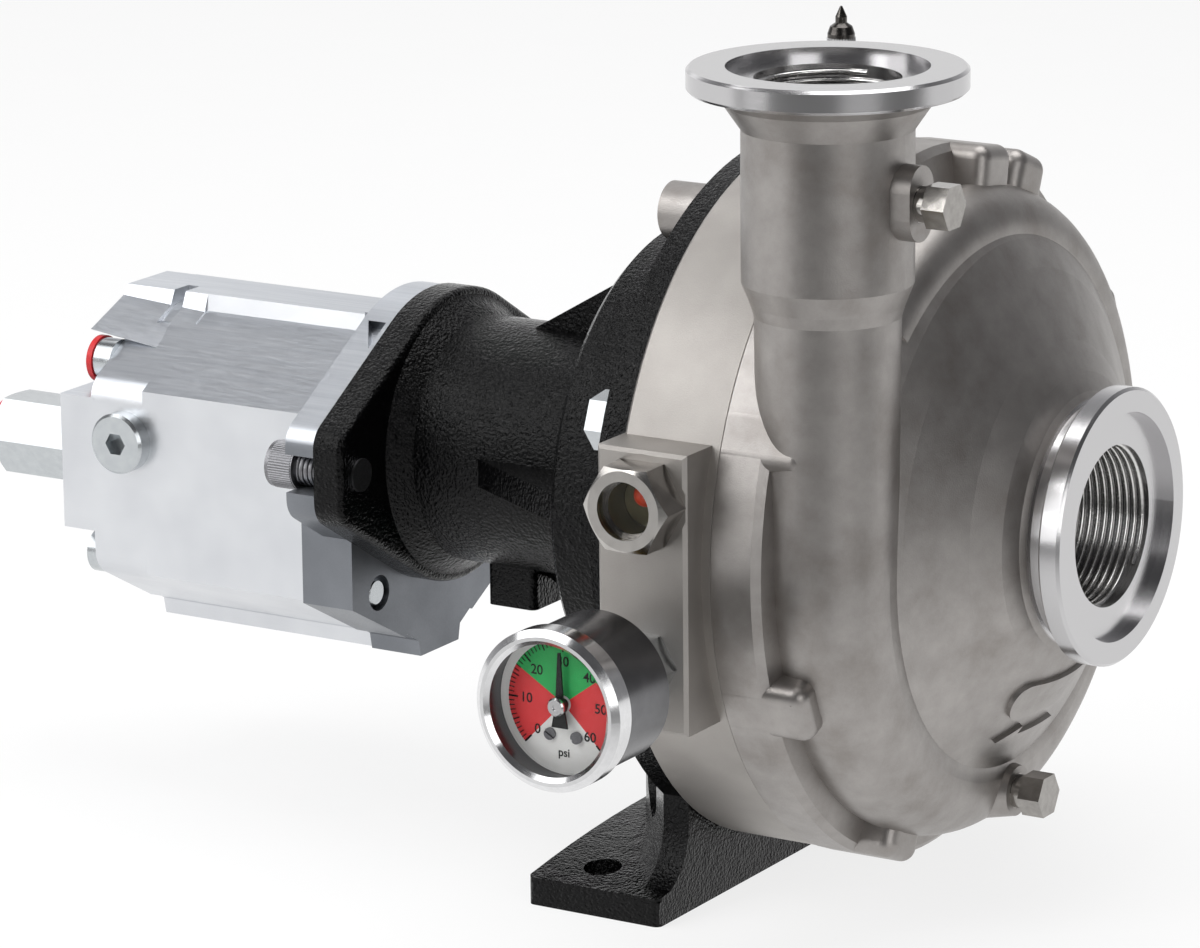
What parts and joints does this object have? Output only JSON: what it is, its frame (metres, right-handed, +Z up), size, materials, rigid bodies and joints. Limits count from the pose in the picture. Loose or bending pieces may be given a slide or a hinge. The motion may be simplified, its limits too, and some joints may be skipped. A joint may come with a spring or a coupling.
{
  "type": "centrifugal pump",
  "caption": "Centrifugal pump with a closed impeller in a spiral volute, a barrier-fluid seal housing with gauge and sight glass, and a hydraulic gear motor on a footed frame.",
  "frame": {"origin": "on the foot's base plane, midway between the foot's two bolt holes", "axes": "+X along the shaft toward the suction inlet, +Z up toward the discharge, -Y the side of the gauge and the discharge"},
  "size_m": [0.3569, 0.2536, 0.2427],
  "materials": {
    "frame_paint": "glossy black paint over rough cast iron",
    "cast_stainless": "bead-blasted investment casting, machined flange faces",
    "blasted_stainless": "light bead-blasted stainless",
    "stainless_impeller": "cast stainless, lightly blasted",
    "plated_steel": "zinc-plated steel",
    "alloy_steel": "satin alloy steel",
    "bearing_steel": "ground and hardened",
    "motor_aluminium": "milled and extruded aluminium",
    "cover_aluminium": "die-cast aluminium",
    "bushing_aluminium": "fine-turned bearing alloy",
    "seal_rubber": "black elastomer",
    "seat_ceramic": "lapped silicon carbide",
    "red_plastic": "red moulded plastic",
    "red_float": "red float",
    "brass": "machined brass",
    "polished_steel": "polished stainless",
    "gauge_glass": "clear window",
    "sight_lens": "clear glass over dark oil",
    "dial_white": "printed dial with coloured ranges",
    "pointer_black": "black painted pointer"
  },
  "bodies": {
    "pump_body": {"mounting_frame": "frame_paint", "seal_housing": "blasted_stainless", "volute_casing": "cast_stainless", "casing_oring": "seal_rubber", "casing_bolts": "plated_steel", "rim_cap_screw": "cast_stainless", "drain_plug": "plated_steel", "vent_plug": "plated_steel", "bearing_outer_rings": "bearing_steel", "frame_snap_rings": "alloy_steel", "seal_seats": "seat_ceramic", "seat_cups": "seal_rubber", "motor_front_cover": "cover_aluminium", "motor_gear_housing": "motor_aluminium", "motor_rear_cover": "motor_aluminium", "motor_bushings": "bushing_aluminium", "motor_shaft_seal": "seal_rubber", "motor_tie_bolts": "plated_steel", "front_cover_screws": "alloy_steel", "motor_mount_screws": "alloy_steel", "port_plug": "plated_steel", "port_adapter": "plated_steel", "return_fitting": "plated_steel", "sight_glass_body": "plated_steel", "sight_glass_lens": "sight_lens", "gauge_adapter": "plated_steel", "gauge_socket": "brass", "gauge_case": "polished_steel", "gauge_bezel": "polished_steel", "gauge_lens": "gauge_glass", "gauge_dial": "dial_white", "dial_screws": "polished_steel", "movement_plates": "brass", "bourdon_tube": "brass", "fill_valve_body": "brass"},
    "rotor": {"pump_shaft": "alloy_steel", "impeller": "stainless_impeller", "impeller_key": "alloy_steel", "impeller_washer": "plated_steel", "impeller_bolt": "plated_steel", "coupling_key": "alloy_steel", "bearing_inner_rings": "bearing_steel", "shaft_snap_ring": "alloy_steel", "seal_heads": "alloy_steel", "seal_spring": "alloy_steel", "drive_gear": "alloy_steel"},
    "idler": {"idler_gear": "alloy_steel"},
    "front_bearing_balls": {"front_ball_set": "bearing_steel"},
    "rear_bearing_balls": {"rear_ball_set": "bearing_steel"},
    "pointer": {"gauge_pointer": "pointer_black"},
    "sector": {"gauge_sector": "brass"},
    "float_ball": {"level_ball": "red_float"},
    "fill_valve_cap": {"valve_cap": "polished_steel"},
    "fill_valve_pin": {"valve_pin": "brass"},
    "return_dust_cap": {"dust_cap": "red_plastic"},
    "adapter_dust_plug": {"adapter_plug": "red_plastic"}
  },
  "joints": [
    {"name": "rotor_spin", "type": "hinge", "parent": "pump_body", "child": "rotor", "pos_m": [0, 0, 0.108], "axis": [-1, 0, 0], "continuous": true},
    {"name": "idler_spin", "type": "hinge", "parent": "pump_body", "child": "idler", "pos_m": [-0.1385, 0, 0.078], "axis": [-1, 0, 0], "continuous": true},
    {"name": "front_bearing_roll", "type": "hinge", "parent": "pump_body", "child": "front_bearing_balls", "pos_m": [-0.007, 0, 0.108], "axis": [-1, 0, 0], "continuous": true},
    {"name": "rear_bearing_roll", "type": "hinge", "parent": "pump_body", "child": "rear_bearing_balls", "pos_m": [-0.064, 0, 0.108], "axis": [-1, 0, 0], "continuous": true},
    {"name": "pointer_turn", "type": "hinge", "parent": "pump_body", "child": "pointer", "pos_m": [0.0395, -0.145, 0.084], "axis": [0, 1, 0], "range_deg": [-135, 135]},
    {"name": "sector_swing", "type": "hinge", "parent": "pump_body", "child": "sector", "pos_m": [0.0395, -0.135, 0.07585], "axis": [0, 1, 0], "range_deg": [-46, 46]},
    {"name": "float_rise", "type": "slide", "parent": "pump_body", "child": "float_ball", "axis": [0, 0, 1], "range_m": [-0.0055, 0.0005]},
    {"name": "valve_cap_lift", "type": "slide", "parent": "pump_body", "child": "fill_valve_cap", "axis": [0, 0, 1], "range_m": [0, 0.02]},
    {"name": "valve_pin_press", "type": "slide", "parent": "pump_body", "child": "fill_valve_pin", "axis": [0, 0, 1], "range_m": [-0.002, 0], "stiffness_N_per_m": 300, "springref_m": 0.001},
    {"name": "dust_cap_pull", "type": "slide", "parent": "pump_body", "child": "return_dust_cap", "axis": [-1, 0, 0], "range_m": [0, 0.025]},
    {"name": "adapter_plug_pull", "type": "slide", "parent": "pump_body", "child": "adapter_dust_plug", "axis": [-1, 0, 0], "range_m": [0, 0.025]}
  ],
  "couplings": [
    {"joint": "idler_spin", "follows": "rotor_spin", "ratio": -1},
    {"joint": "front_bearing_roll", "follows": "rotor_spin", "ratio": 0.3987},
    {"joint": "rear_bearing_roll", "follows": "rotor_spin", "ratio": 0.3987},
    {"joint": "sector_swing", "follows": "pointer_turn", "ratio": -0.33333}
  ]
}
